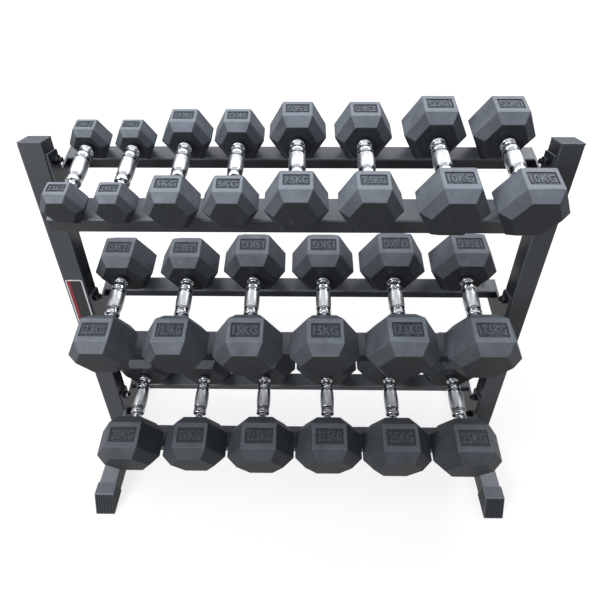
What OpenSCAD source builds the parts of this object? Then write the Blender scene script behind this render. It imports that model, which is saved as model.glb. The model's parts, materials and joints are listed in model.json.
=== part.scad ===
// Three-tier dumbbell rack with its set of twenty rubber hex dumbbells.
//
// Two square-tube uprights lean back on two square-tube feet. Each tier is a front rail and a
// rear rail of bent steel angle, carried by a side bracket at each end that is bolted to the
// inner face of the upright. The tiers tip forward, so the weights face the user.
//
// Origin: on the floor, in the middle of the loaded rack's outer box.
// +X is the rack's right as seen by the user, +Y is the back and +Z is up. Millimetres.

/* [Frame] */
// How far the end heads of the lowest row reach past the uprights' inner faces
end_tuck = 12; // [6:0.1:13]
// Outside size of the square tube
tube = 45; // [40:0.5:50]
// Wall of the square tube
tube_wall = 2; // [1.5:0.1:3]
// Lean of the uprights away from the user, from vertical
lean = 10.3; // [6:0.1:14]
// Height of the uprights' top ends, caps on, above the top tray
top_rise = 77.7; // [75:0.1:150]
// Thickness of an upright's top cap
cap_t = 3; // [2:0.5:5]
// Depth of the plug of a top cap
cap_plug = 14; // [8:1:25]
// Clearance of a plug or sleeve on its tube, each side
plug_clear = 0.15; // [0.1:0.05:0.4]

/* [Feet] */
// Length of a foot on the floor, over its end sleeves
foot_len = 467; // [400:1:600]
// Wall of an end sleeve
sleeve_wall = 2.5; // [2:0.5:4]
// Length of an end sleeve along its top
sleeve_top_len = 34; // [25:1:60]
// How far an end sleeve's lower edge reaches past its upper edge
sleeve_mitre = 32; // [10:1:40]
// Width of one rib on the mitred end of a sleeve
rib_w = 2; // [1:0.5:3]

/* [Tiers] */
// Height of the lowest tray where it meets the front faces of the uprights
tier_z = 137.3; // [130:0.1:160]
// Height from one tray to the next
tier_pitch = 315; // [300:1:330]
// Tip of a tray towards the user, from level
tray_tilt = 10.3; // [5:0.1:14]
// Reach of a tray in front of the uprights
tray_front = 97; // [85:1:110]
// Distance between the front edges of the front and rear rails
rail_pitch = 174; // [165:1:185]
// Depth of a front rail's plate
front_plate = 58; // [50:1:65]
// Depth of a rear rail's plate
rear_plate = 40; // [35:1:50]
// Depth of a front rail's lip
front_lip = 32; // [20:1:40]
// Depth of a rear rail's lip
rear_lip = 24; // [15:1:35]
// Thickness of the rails' steel
rail_t = 4; // [3:0.5:5]
// Gap between a front rail's end and the bracket
front_rail_gap = 12; // [4:1:16]
// Gap between a rear rail's end and the bracket
rear_rail_gap = 0.5; // [0.3:0.1:4]

/* [Brackets] */
// Thickness of a side bracket
bracket_t = 5; // [4:0.5:8]
// Depth of a side bracket's arm
arm_h = 53; // [45:1:60]
// How far an arm stops short of the front rail's front edge
arm_setback = 20; // [12:1:30]
// Height of the bracket's tab above the tray, along the upright
tab_h = 55; // [50:1:70]
// Margin of the tab inside the upright's face, front and back
tab_margin = 3; // [1:0.5:6]
// Reach of a rail seat from the arm
seat_reach = 43; // [38:1:50]
// Thickness of a rail seat
seat_t = 5; // [4:0.5:8]

/* [Fasteners] */
// Bracket bolt diameter
bolt_d = 10; // [8:1:12]
// Across flats of a bracket bolt's head and nut
bolt_af = 16; // [15:1:19]
// Distance of the upper bracket bolt below the top of the tab
bolt_from_top = 15; // [12:1:20]
// Distance of the lower bracket bolt below the tray
bolt_below = 24; // [18:1:28]
// Rail screw diameter
screw_d = 8; // [6:1:8]
// Across flats of a rail screw's nut
screw_af = 13; // [10:1:13]
// Radial clearance of a bolt or screw in its hole
hole_clear = 0.3; // [0.1:0.05:0.5]

/* [Dumbbells] */
// Height of a head across its flats, one for each kind from the lightest to the heaviest
head_flats = [69, 85, 97, 105, 117, 125, 131, 134, 141, 144];
// Length of a head, one for each kind
head_lengths = [54, 69, 77, 86, 93, 98, 100, 105, 109, 113];
// Length of the handle between the heads, one for each kind
handle_lengths = [128, 124, 124, 123, 126, 128, 126, 130, 130, 131];
// Diameter of the grip at its middle, one for each kind
grip_diameters = [30, 30, 33, 33.5, 34, 34, 34.5, 34.5, 35, 36];
// Bevel at the outer end of a head, as a share of its height
outer_bevel = 0.168; // [0.1:0.002:0.2]
// Bevel at the inner end of a head, as a share of its height
inner_bevel = 0.168; // [0.1:0.002:0.2]
// Height of a head's end face, as a share of the head's height
end_share = 0.69; // [0.6:0.01:0.9]
// Thickness of the rubber over the iron core
rubber_t = 3; // [2:0.5:6]
// Play between the rubber and the core
core_play = 0.1; // [0.05:0.05:0.3]
// Depth of the weight panel in the top of a head
panel_depth = 1.4; // [0.8:0.1:2]
// Width of the weight panel, as a share of the flat that it lies in
panel_w_share = 0.8; // [0.6:0.05:0.9]
// Length of the weight panel, as a share of the flat that it lies in
panel_l_share = 0.6; // [0.4:0.05:0.8]
// Play between a resting dumbbell and its rails
rest_gap = 0.2; // [0.1:0.05:0.5]

/* [Handles] */
// Length of the plain stub between a head and the handle's collar
stub_len = 2.5; // [1:0.5:4]
// Length of the collar beside a head
collar_len = 9; // [6:0.5:12]
// Length of the neck between the collar and the shoulder, with its flares
neck_len = 13; // [10:0.5:16]
// Length of the shoulder ring
shoulder_len = 10; // [6:0.5:12]
// Length of the groove between the shoulder and the grip
groove_len = 9; // [5:0.5:10]
// Collar diameter, as a share of the grip's
collar_share = 0.88; // [0.7:0.01:0.95]
// Neck diameter, as a share of the grip's
neck_share = 0.54; // [0.5:0.01:0.7]
// Diameter of the shoulder and of the grip's ends, as a share of the grip's middle
shoulder_share = 0.95; // [0.92:0.01:1]
// Groove diameter, as a share of the grip's
groove_share = 0.9; // [0.8:0.01:0.92]
// Diameter of the spigot in the core, as a share of the grip's
spigot_share = 0.5; // [0.4:0.01:0.5]

/* [Rows] */
// Gaps between neighbouring heads of the bottom row, from left to right
bottom_gaps = [5.8, 4.2, 2.7, 1.5, 2.5];
// Gaps between neighbouring heads of the middle row
middle_gaps = [17.5, 13, 15, 13, 14.5];
// Gaps between neighbouring heads of the top row
top_gaps = [11, 15, 5, 9.5, 16, 22, 11.5];
// How far the bottom row lies to the right of the rack's middle
bottom_shift = -1.7; // [-3:0.1:3]
// How far the middle row lies to the right of the rack's middle
middle_shift = -11.3; // [-12:0.1:10]
// How far the top row lies to the right of the rack's middle
top_shift = 0; // [-20:0.5:20]
// Distance from a tray's front edge to the middle of the bottom row's dumbbells
bottom_seat = 103; // [95:0.5:108]
// Distance from a tray's front edge to the middle of the middle row's dumbbells
middle_seat = 99; // [92:0.5:108]
// Distance from a tray's front edge to the middle of the top row's dumbbells
top_seat = 97; // [90:0.5:105]

/* [Badge] */
// Width of the badge on the left upright
badge_w = 38; // [20:1:39]
// Length of the badge
badge_len = 150; // [80:1:180]
// Thickness of the badge
badge_t = 0.8; // [0.4:0.1:2]
// Distance from the top of the upright to the badge
badge_drop = 299; // [200:1:330]
// Corner radius of the badge
badge_r = 5; // [2:0.5:10]

/* [Hidden] */
$fn = 48;

KIND_NAMES = ["2_5kg", "5kg", "7_5kg", "10kg", "12_5kg", "15kg", "17_5kg", "20kg", "22_5kg", "25kg"];
// The rows, bottom first: the kinds from left to right
ROW_KINDS = [[7, 7, 8, 8, 9, 9], [4, 4, 5, 5, 6, 6], [0, 0, 1, 1, 2, 2, 3, 3]];
ROW_GAPS = [bottom_gaps, middle_gaps, top_gaps];
ROW_SHIFT = [bottom_shift, middle_shift, top_shift];
ROW_SEAT = [bottom_seat, middle_seat, top_seat];
TIERS = ["bottom", "middle", "top"];

function dumbbell_len(k) = handle_lengths[k] + 2 * head_lengths[k];
// Width over the corners of a head
function head_w(k) = head_flats[k] / cos(30);
// Distance from the left end of row t to the middle of its dumbbell i
function along_row(t, i) = i == 0
    ? head_w(ROW_KINDS[t][0]) / 2
    : along_row(t, i - 1) + ROW_GAPS[t][i - 1]
        + (head_w(ROW_KINDS[t][i - 1]) + head_w(ROW_KINDS[t][i])) / 2;
function row_w(t) =
    let (last = len(ROW_KINDS[t]) - 1)
    along_row(t, last) + head_w(ROW_KINDS[t][last]) / 2;
// Middle of dumbbell i of row t, across the rack
function dumbbell_x(t, i) = along_row(t, i) - row_w(t) / 2 + ROW_SHIFT[t];
function dumbbell_name(t, i) =
    str("dumbbell_", KIND_NAMES[ROW_KINDS[t][i]], "_", i % 2 == 0 ? "left" : "right");

// Frame
// The rack is as wide as its bottom row needs.
inner_x = row_w(0) / 2 - end_tuck;
mid_x = inner_x + tube / 2;
outer_x = inner_x + tube;
upright_top_z = tier_z + 2 * tier_pitch + top_rise;
foot_top = sleeve_wall + tube;
foot_back = foot_len / 2 - sleeve_mitre;
// How far the uprights' front faces lie behind the feet's middle at height z. Their centre
// lines cross the feet's middle at the feet's top.
function setback(z) = (z - foot_top) * tan(lean) - tube / 2 / cos(lean);
// The feet reach furthest forwards and the heaviest pair of the top row furthest back, and
// the origin is midway between them.
rear_kind = ROW_KINDS[2][len(ROW_KINDS[2]) - 1];
rear_reach = setback(tier_z + 2 * tier_pitch)
    + (dumbbell_len(rear_kind) / 2 + top_seat - tray_front) * cos(tray_tilt)
    - (rest_gap + head_flats[rear_kind] * (1 - end_share) / 2) * sin(tray_tilt);
foot_y = (foot_len / 2 - rear_reach) / 2;
function front_y(z) = foot_y + setback(z);
// Length of an upright's front face from the foot's top to the underside of its cap
upright_len = (upright_top_z - foot_top) / cos(lean) - cap_t;

// Tiers, in a frame whose origin is where the tray meets the uprights' front faces, with +Y
// along the tray to the back and +Z square to the tray
cross_tilt = lean + tray_tilt;
front_edge = -tray_front;
rear_edge = front_edge + rail_pitch;
tray_end = rear_edge + rear_plate;
arm_front = front_edge + arm_setback;
front_rail_x = inner_x - bracket_t - front_rail_gap;
rear_rail_x = inner_x - bracket_t - rear_rail_gap;
seat_x = inner_x - bracket_t - seat_reach;
seat_gap = 0.5;
front_seat = [arm_front, front_edge + front_plate];
rear_seat = [rear_edge + rail_t + seat_gap, tray_end];
screw_x = (front_rail_x + seat_x) / 2;
SCREW_Y = [(front_seat[0] + front_seat[1]) / 2, (rear_seat[0] + rear_seat[1]) / 2];

// Fasteners
bolt_head_h = 0.64 * bolt_d;
nut_h = 0.8 * bolt_d;
washer_t = 2;
washer_d = 2 * bolt_d;
bolt_tail = 6;
thread_clear = 0.05;
spigot_depth = 0.7;
screw_head_d = 2 * screw_d;
screw_nut_h = 0.8 * screw_d;
screw_sink = 0.2;
screw_tail = 2;
csk_clear = 0.1;
// Places of the bracket bolts, in the upright's own frame
BOLT_V = [tab_h - bolt_from_top, -bolt_below];

RACK_NODES = [
    "left_upright", "right_upright", "left_foot", "right_foot", "upright_top_caps",
    "foot_end_sleeves", "bottom_front_rail", "bottom_rear_rail", "middle_front_rail",
    "middle_rear_rail", "top_front_rail", "top_rear_rail", "bottom_side_brackets",
    "middle_side_brackets", "top_side_brackets", "bracket_bolts", "bracket_washers",
    "bracket_nuts", "rail_screws_and_nuts", "upright_badge",
];

powder = "#33363a";
plastic = "#26282b";
zinc = "#4a4d52";
rubber = "#3c4045";
chrome = "#d5d8db";

// ---- frames of reference ----

// Places its children in the leaning frame of the upright on one side: the origin is where
// the front face meets the foot, and +Z runs up the front face.
module in_upright(side) {
    translate([side * mid_x, front_y(foot_top), foot_top])
        rotate([-lean, 0, 0])
            children();
}

// Places its children in the frame of tier t.
module in_tier(t) {
    z = tier_z + t * tier_pitch;
    translate([0, front_y(z), z])
        rotate([tray_tilt, 0, 0])
            children();
}

// Turns its children from the tier's frame to the lean of the upright.
module along_upright() {
    rotate([-cross_tilt, 0, 0])
        children();
}

// An upright rectangle with round corners, which stands on the origin
module rounded_rectangle(w, h, r) {
    translate([-w / 2, r])
        square([w, h - 2 * r]);
    translate([r - w / 2, 0])
        square([w - 2 * r, h]);
    for (x = [r - w / 2, w / 2 - r])
        for (y = [r, h - r])
            translate([x, y])
                circle(r = r);
}

// Extrudes a side view, drawn as [y, z], across the rack between x0 and x1.
module side_view(x0, x1) {
    translate([x0, 0, 0])
        rotate([90, 0, 90])
            linear_extrude(x1 - x0)
                children();
}

// ---- frame ----

// A square tube whose lower end is cut level to stand on the foot
module upright(side) {
    skirt = tube * tan(lean) + 1;
    drill = tube + 2;
    color(powder)
        difference() {
            in_upright(side)
                difference() {
                    translate([-tube / 2, 0, -skirt])
                        cube([tube, tube, upright_len + skirt]);
                    translate([-tube / 2 + tube_wall, tube_wall, -skirt - 1])
                        cube([tube - 2 * tube_wall, tube - 2 * tube_wall, upright_len + skirt + 2]);
                }
            translate([side * mid_x - tube, foot_y - 2 * tube, foot_top - 2 * skirt - tube])
                cube([2 * tube, 4 * tube, 2 * skirt + tube]);
            for (t = [0:2])
                in_tier(t)
                    along_upright()
                        for (v = BOLT_V)
                            translate([side * mid_x, tube / 2, v])
                                rotate([0, 90, 0])
                                    cylinder(d = bolt_d + 2 * hole_clear, h = drill, center = true);
        }
}

module upright_top_caps() {
    inside = tube - 2 * tube_wall - 2 * plug_clear;
    color(plastic)
        for (side = [-1, 1])
            in_upright(side) {
                translate([-tube / 2, 0, upright_len])
                    cube([tube, tube, cap_t]);
                translate([-inside / 2, (tube - inside) / 2, upright_len - cap_plug])
                    difference() {
                        cube([inside, inside, cap_plug]);
                        translate([cap_t, cap_t, -1])
                            cube([inside - 2 * cap_t, inside - 2 * cap_t, cap_plug - cap_t + 1]);
                    }
            }
}

// A square tube on the floor, between the blind ends of its two sleeves
module foot(side) {
    len = 2 * (foot_back - sleeve_wall);
    color(powder)
        translate([side * mid_x, foot_y, sleeve_wall + tube / 2])
            difference() {
                cube([tube, len, tube], center = true);
                cube([tube - 2 * tube_wall, len + 2, tube - 2 * tube_wall], center = true);
            }
}

// A sleeve over a foot's end, with a mitred and ribbed face
module end_sleeve() {
    out = tube + 2 * sleeve_wall;
    mouth = foot_back - sleeve_top_len;
    ribs = floor(out / (3 * rib_w));
    difference() {
        side_view(-out / 2, out / 2)
            polygon([[mouth, 0], [foot_back + sleeve_mitre, 0], [foot_back, out], [mouth, out]]);
        translate([-tube / 2 - plug_clear, mouth - 1, sleeve_wall - plug_clear])
            cube([tube + 2 * plug_clear, foot_back - sleeve_wall - mouth + 1, tube + 2 * plug_clear]);
        // Shallow grooves along the mitred face leave the ribs between them.
        for (i = [1:ribs - 1])
            translate([(i - ribs / 2) * out / ribs, foot_back + sleeve_mitre, 0])
                rotate([atan(sleeve_mitre / out), 0, 0])
                    translate([-rib_w / 2, -1, out * 0.12])
                        cube([rib_w, 2, out]);
    }
}

module foot_end_sleeves() {
    color(plastic)
        for (side = [-1, 1])
            for (turn = [0, 180])
                translate([side * mid_x, foot_y, 0])
                    rotate([0, 0, turn])
                        end_sleeve();
}

// ---- tiers ----

// A bent angle: a plate on top and a lip down its front edge
module rail(y0, plate, lip, half_x) {
    difference() {
        side_view(-half_x, half_x)
            polygon([
                [y0, 0], [y0 + plate, 0], [y0 + plate, -rail_t],
                [y0 + rail_t, -rail_t], [y0 + rail_t, -lip], [y0, -lip],
            ]);
        for (x = [-screw_x, screw_x])
            for (y = SCREW_Y)
                translate([x, y, 0])
                    screw_hole();
    }
}

// A countersunk hole through a rail's plate
module screw_hole() {
    cone = (screw_head_d - screw_d) / 2;
    translate([0, 0, -cone - csk_clear])
        cylinder(d1 = screw_d + 2 * hole_clear, d2 = screw_head_d + 2 * hole_clear, h = cone + csk_clear);
    translate([0, 0, -rail_t - 1])
        cylinder(d = screw_d + 2 * hole_clear, h = rail_t + 1);
}

module front_rail(t) {
    color(powder)
        in_tier(t)
            rail(front_edge, front_plate, front_lip, front_rail_x);
}

module rear_rail(t) {
    color(powder)
        in_tier(t)
            rail(rear_edge, rear_plate, rear_lip, rear_rail_x);
}

// One side bracket: an arm that carries both rails on seats, and a tab up the upright
module side_bracket(side) {
    x0 = side > 0 ? inner_x - bracket_t : -inner_x;
    seat_x0 = side > 0 ? seat_x : -inner_x;
    difference() {
        union() {
            side_view(x0, x0 + bracket_t)
                polygon([[arm_front, 0], [tray_end, 0], [tray_end, -arm_h], [arm_front, -arm_h]]);
            along_upright()
                translate([x0, tab_margin, -arm_h / 2])
                    cube([bracket_t, tube - 2 * tab_margin, arm_h / 2 + tab_h]);
            for (s = [front_seat, rear_seat])
                translate([seat_x0, s[0], -rail_t - seat_t])
                    cube([inner_x - seat_x, s[1] - s[0], seat_t]);
        }
        along_upright()
            for (v = BOLT_V)
                translate([side * inner_x, tube / 2, v])
                    rotate([0, 90, 0])
                        cylinder(d = bolt_d + 2 * hole_clear, h = 3 * bracket_t, center = true);
        for (y = SCREW_Y)
            translate([side * screw_x, y, -rail_t - seat_t - 1])
                cylinder(d = screw_d + 2 * hole_clear, h = seat_t + 2);
    }
}

module side_brackets(t) {
    color(powder)
        in_tier(t)
            for (side = [-1, 1])
                side_bracket(side);
}

// ---- fasteners ----

// Places its children on each bracket bolt's axis, with +Z towards the middle of the rack
// and the origin on the outer face of the upright.
module at_bracket_bolts() {
    for (t = [0:2])
        in_tier(t)
            along_upright()
                for (side = [-1, 1])
                    for (v = BOLT_V)
                        translate([side * outer_x, tube / 2, v])
                            rotate([0, -side * 90, 0])
                                children();
}

bolt_grip = tube + bracket_t;

module bracket_bolts() {
    color(zinc)
        at_bracket_bolts() {
            translate([0, 0, -bolt_head_h])
                cylinder(d = bolt_af / cos(30), h = bolt_head_h, $fn = 6);
            cylinder(d = bolt_d, h = bolt_grip + washer_t + nut_h + bolt_tail);
        }
}

module bracket_washers() {
    color(zinc)
        at_bracket_bolts()
            translate([0, 0, bolt_grip])
                difference() {
                    cylinder(d = washer_d, h = washer_t);
                    translate([0, 0, -1])
                        cylinder(d = bolt_d + 2 * hole_clear, h = washer_t + 2);
                }
}

module bracket_nuts() {
    color(zinc)
        at_bracket_bolts()
            translate([0, 0, bolt_grip + washer_t])
                difference() {
                    cylinder(d = bolt_af / cos(30), h = nut_h, $fn = 6);
                    translate([0, 0, -1])
                        cylinder(d = bolt_d + 2 * thread_clear, h = nut_h + 2);
                }
}

// A countersunk screw flush with the rail's plate, and its nut under the seat
module rail_screw() {
    cone = (screw_head_d - screw_d) / 2;
    under = rail_t + seat_t;
    translate([0, 0, -cone - screw_sink])
        cylinder(d1 = screw_d, d2 = screw_head_d, h = cone);
    translate([0, 0, -under - screw_nut_h - screw_tail])
        cylinder(d = screw_d, h = under + screw_nut_h + screw_tail - cone);
    translate([0, 0, -under - screw_nut_h])
        difference() {
            cylinder(d = screw_af / cos(30), h = screw_nut_h, $fn = 6);
            translate([0, 0, -1])
                cylinder(d = screw_d + 2 * thread_clear, h = screw_nut_h + 2);
        }
}

module rail_screws_and_nuts() {
    color(zinc)
        for (t = [0:2])
            in_tier(t)
                for (x = [-screw_x, screw_x])
                    for (y = SCREW_Y)
                        translate([x, y, 0])
                            rail_screw();
}

module upright_badge() {
    color("#c9ccd0")
        in_upright(-1)
            translate([0, 0, upright_len + cap_t - badge_drop - badge_len])
                rotate([90, 0, 0])
                    linear_extrude(badge_t)
                        rounded_rectangle(badge_w, badge_len, badge_r);
}

// ---- dumbbells ----

// A hexagonal block along Y, flat side up, with both ends bevelled. It runs from y = 0, its
// outer end, to y = len.
module bevelled_hex(af, len, end_af, bevel_out, bevel_in) {
    reach = af;
    intersection_for (turn = [0, 60, 120])
        rotate([0, turn, 0])
            side_view(-reach, reach)
                polygon([
                    [0, -end_af / 2], [bevel_out, -af / 2], [len - bevel_in, -af / 2],
                    [len, -end_af / 2], [len, end_af / 2], [len - bevel_in, af / 2],
                    [bevel_out, af / 2], [0, end_af / 2],
                ]);
}

function spigot_d(k) = spigot_share * grip_diameters[k];
function spigot_len(k) = spigot_depth * head_lengths[k];

// The iron core of a head, or with play added the space for it in the rubber
module iron_core(k, play) {
    flats = head_flats[k] - 2 * rubber_t + 2 * play;
    length = head_lengths[k] - 2 * rubber_t + 2 * play;
    translate([0, rubber_t - play, 0])
        bevelled_hex(flats, length, end_share * flats, outer_bevel * flats, inner_bevel * flats);
}

// One rubber-covered head with its outer end at y = 0
module rubber_head(k) {
    af = head_flats[k];
    length = head_lengths[k];
    flat_w = af * tan(30);
    flat_len = length - (outer_bevel + inner_bevel) * af;
    flat_mid = outer_bevel * af + flat_len / 2;
    panel = [flat_w * panel_w_share, flat_len * panel_l_share, 2 * panel_depth];
    difference() {
        bevelled_hex(af, length, end_share * af, outer_bevel * af, inner_bevel * af);
        iron_core(k, core_play);
        translate([0, length / 2, 0])
            rotate([-90, 0, 0])
                cylinder(d = spigot_d(k) + 2 * hole_clear, h = length);
        translate([0, flat_mid, af / 2])
            cube(panel, center = true);
    }
}

// Outline of half a handle, as [radius, distance from the middle], out to the head's face
function handle_outline(k) =
    let (
        r = grip_diameters[k] / 2,
        end = handle_lengths[k] / 2,
        collar = end - stub_len - collar_len,
        neck = collar - neck_len,
        shoulder = neck - shoulder_len,
        grip = shoulder - groove_len,
        swell = 1 - shoulder_share,
        steps = 6
    )
    concat(
        [for (i = [0:steps]) [r * (shoulder_share + swell * cos(90 * i / steps)), grip * i / steps]],
        [
            [r * groove_share, grip], [r * groove_share, shoulder],
            [r * shoulder_share, shoulder], [r * shoulder_share, neck],
            [r * neck_share, neck + 0.4 * neck_len], [r * neck_share, collar - 0.2 * neck_len],
            [r * collar_share, collar], [r * collar_share, collar + collar_len],
            [r * neck_share, end - stub_len], [r * neck_share, end],
        ]
    );

// A chrome handle along Y, middle at y = 0, with a spigot into each core
module handle(k) {
    side = handle_outline(k);
    n = len(side);
    end = handle_lengths[k] / 2;
    reach = end + spigot_len(k);
    rotate([-90, 0, 0])
        rotate_extrude()
            polygon(concat(
                [[0, -reach], [spigot_d(k) / 2, -reach], [spigot_d(k) / 2, -end]],
                [for (i = [n - 1:-1:1]) [side[i][0], -side[i][1]]],
                side,
                [[spigot_d(k) / 2, end], [spigot_d(k) / 2, reach], [0, reach]]
            ));
}

// Places its children on the axis of dumbbell i of row t.
module at_dumbbell(t, i) {
    k = ROW_KINDS[t][i];
    in_tier(t)
        translate([dumbbell_x(t, i), front_edge + ROW_SEAT[t], rest_gap + head_flats[k] / 2])
            children();
}

// Places its children at both ends of a dumbbell, each with +Y pointing inwards.
module at_both_heads(k) {
    for (turn = [0, 180])
        rotate([0, 0, turn])
            translate([0, -dumbbell_len(k) / 2, 0])
                children();
}

module dumbbell_heads(t, i) {
    k = ROW_KINDS[t][i];
    color(rubber)
        at_dumbbell(t, i)
            at_both_heads(k)
                rubber_head(k);
}

// The chrome handle and the two iron cores that are pressed on its ends
module dumbbell_bar(t, i) {
    k = ROW_KINDS[t][i];
    color(chrome)
        at_dumbbell(t, i) {
            handle(k);
            at_both_heads(k)
                difference() {
                    iron_core(k, 0);
                    translate([0, head_lengths[k] - spigot_len(k) - 1, 0])
                        rotate([-90, 0, 0])
                            cylinder(d = spigot_d(k) + 2 * thread_clear, h = head_lengths[k]);
                }
        }
}

upright(-1);  // left_upright
upright(1);  // right_upright
foot(-1);  // left_foot
foot(1);  // right_foot
upright_top_caps();
foot_end_sleeves();
bracket_bolts();
bracket_washers();
bracket_nuts();
rail_screws_and_nuts();
upright_badge();
for (t = [0:2]) {
    front_rail(t);
    rear_rail(t);
    side_brackets(t);
    for (i = [0:len(ROW_KINDS[t]) - 1]) {
        dumbbell_heads(t, i);
        dumbbell_bar(t, i);
    }
}
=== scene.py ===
# %% [markdown]
# # A three-tier dumbbell rack
#
# A welded and bolted steel rack with twenty rubber-covered hexagonal dumbbells on it. Shapes
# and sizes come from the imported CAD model, which is loaded first and stays fixed. Each piece
# made here rides on one CAD body and stands for one CAD node, and adds the rounded edges,
# finishes and small detail that the solids leave out.

# %% Load the frame
import json
import math
import bpy
import bmesh
import numpy as np
from mathutils import Matrix, Vector

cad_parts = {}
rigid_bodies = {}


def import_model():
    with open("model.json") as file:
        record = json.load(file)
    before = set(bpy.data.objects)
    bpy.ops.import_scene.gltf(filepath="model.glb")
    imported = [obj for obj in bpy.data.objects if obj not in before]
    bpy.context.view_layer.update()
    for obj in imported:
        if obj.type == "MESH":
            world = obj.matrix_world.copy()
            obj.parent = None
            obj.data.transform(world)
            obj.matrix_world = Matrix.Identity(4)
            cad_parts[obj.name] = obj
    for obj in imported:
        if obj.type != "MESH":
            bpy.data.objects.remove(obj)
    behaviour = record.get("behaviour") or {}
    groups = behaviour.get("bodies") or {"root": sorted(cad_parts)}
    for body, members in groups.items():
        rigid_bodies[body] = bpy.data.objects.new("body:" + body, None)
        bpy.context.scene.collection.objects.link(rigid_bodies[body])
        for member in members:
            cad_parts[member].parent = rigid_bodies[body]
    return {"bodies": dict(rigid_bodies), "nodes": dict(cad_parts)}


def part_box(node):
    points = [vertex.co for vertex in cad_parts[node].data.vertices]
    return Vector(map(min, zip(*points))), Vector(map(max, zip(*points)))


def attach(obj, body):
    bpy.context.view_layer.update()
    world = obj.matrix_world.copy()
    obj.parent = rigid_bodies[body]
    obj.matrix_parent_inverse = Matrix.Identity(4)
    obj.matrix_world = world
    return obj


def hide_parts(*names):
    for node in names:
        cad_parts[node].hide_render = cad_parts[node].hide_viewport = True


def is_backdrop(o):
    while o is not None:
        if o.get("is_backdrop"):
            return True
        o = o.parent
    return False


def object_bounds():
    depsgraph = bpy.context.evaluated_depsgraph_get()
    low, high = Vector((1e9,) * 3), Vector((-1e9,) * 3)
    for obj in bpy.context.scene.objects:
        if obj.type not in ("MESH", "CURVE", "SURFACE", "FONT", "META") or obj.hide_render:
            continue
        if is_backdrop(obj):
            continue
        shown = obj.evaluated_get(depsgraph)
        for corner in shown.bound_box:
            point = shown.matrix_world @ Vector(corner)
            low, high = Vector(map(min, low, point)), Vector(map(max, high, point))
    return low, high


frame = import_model()
cad_low, cad_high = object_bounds()
scene = bpy.context.scene
print("CAD box in mm:", [round(1000 * v) for v in cad_high - cad_low])


# %% Millimetres
def mm(value):
    """A length in millimetres as Blender's metres."""
    return value / 1000


# %% [markdown]
# ## Colours and nodes
#
# A colour picked on a screen is an sRGB value, while shaders calculate with linear
# light, so one function turns hex values to linear. One more adds any shader or geometry
# node with its settings and links.

# %% Helpers for colours and node trees
# Blender's names of the nodes that are used most.
MATH, VECTOR_MATH, MIX = "ShaderNodeMath", "ShaderNodeVectorMath", "ShaderNodeMix"
NOISE, REMAP = "ShaderNodeTexNoise", "ShaderNodeMapRange"


def shade(hex_colour):
    """An sRGB hex colour as linear RGBA."""
    parts = [int(hex_colour[i:i + 2], 16) / 255 for i in (1, 3, 5)]
    linear = [p / 12.92 if p <= 0.04045 else ((p + 0.055) / 1.055) ** 2.4 for p in parts]
    return (*linear, 1)


def add(tree, kind, inputs=None, **settings):
    """Adds a node and sets its properties. An input is given a value, a node whose first
    output it takes, or a node with the name of an output."""
    made = tree.nodes.new(kind)
    for name, value in settings.items():
        setattr(made, name, value)
    for socket, value in (inputs or {}).items():
        source = value if isinstance(value, tuple) else (value, 0)
        if isinstance(source[0], bpy.types.Node):
            tree.links.new(source[0].outputs[source[1]], made.inputs[socket])
        else:
            made.inputs[socket].default_value = value
    return made


def new_material(name, **settings):
    """A new node material: its tree, its Principled shader, and its Object coordinates."""
    made = bpy.data.materials.new(name)
    made.use_nodes = True
    shader = made.node_tree.nodes["Principled BSDF"]
    for socket, value in settings.items():
        shader.inputs[socket.replace("_", " ")].default_value = value
    return made, made.node_tree, shader, (add(made.node_tree, "ShaderNodeTexCoord"), "Object")


def finish_with(tree, shader, **outputs):
    """Joins nodes to the shader's sockets."""
    for socket, node in outputs.items():
        source = node.outputs["Result"] if "Result" in node.outputs else node.outputs[0]
        tree.links.new(source, shader.inputs[socket.replace("_", " ")])


def grains(size):
    """The scale of a pattern on Object coordinates whose grains are size millimetres apart."""
    return 1 / mm(size)


# %% [markdown]
# ## Powder-coated steel
#
# The tubes, rails and brackets have a baked polyester powder coat. It melts into a skin with
# a faint orange peel, about 2 mm from bump to bump, and a satin gloss. What looks up is paler:
# partly a thin film of pale dust, and partly painted top light. On edges the coat is thinner
# and rubbed, so they get a second, paler finish, which is partly that wear and partly a
# painted highlight. All of it is noise on Object coordinates, which needs no unwrapping.

# %% Powder coat
NEARLY_LEVEL = 0.95  # the normal's Z from which a surface counts as level


def facing_up(tree, lowest, least, most):
    """A node that goes from least to most while the normal's Z goes from lowest to level."""
    surface = add(tree, "ShaderNodeNewGeometry")
    parts = add(tree, "ShaderNodeSeparateXYZ", {"Vector": (surface, "Normal")})
    return add(tree, REMAP, {"Value": (parts, "Z"), "From Min": lowest, "From Max": NEARLY_LEVEL,
                             "To Min": least, "To Max": most})


def with_dust_and_top_light(tree, pattern, dark, light, dust_and_light_tone, lowest):
    """Two tones in a pattern, under a paler tone on what looks up:
    partly dust, partly painted top light.
    """
    tint = add(tree, MIX, {"Factor": pattern, "A": shade(dark), "B": shade(light)},
               data_type="RGBA")
    level = facing_up(tree, lowest, 0.0, 1.0)
    return add(tree, MIX, {"Factor": level, "A": (tint, "Result"), "B": shade(dust_and_light_tone)},
               data_type="RGBA")


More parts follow.
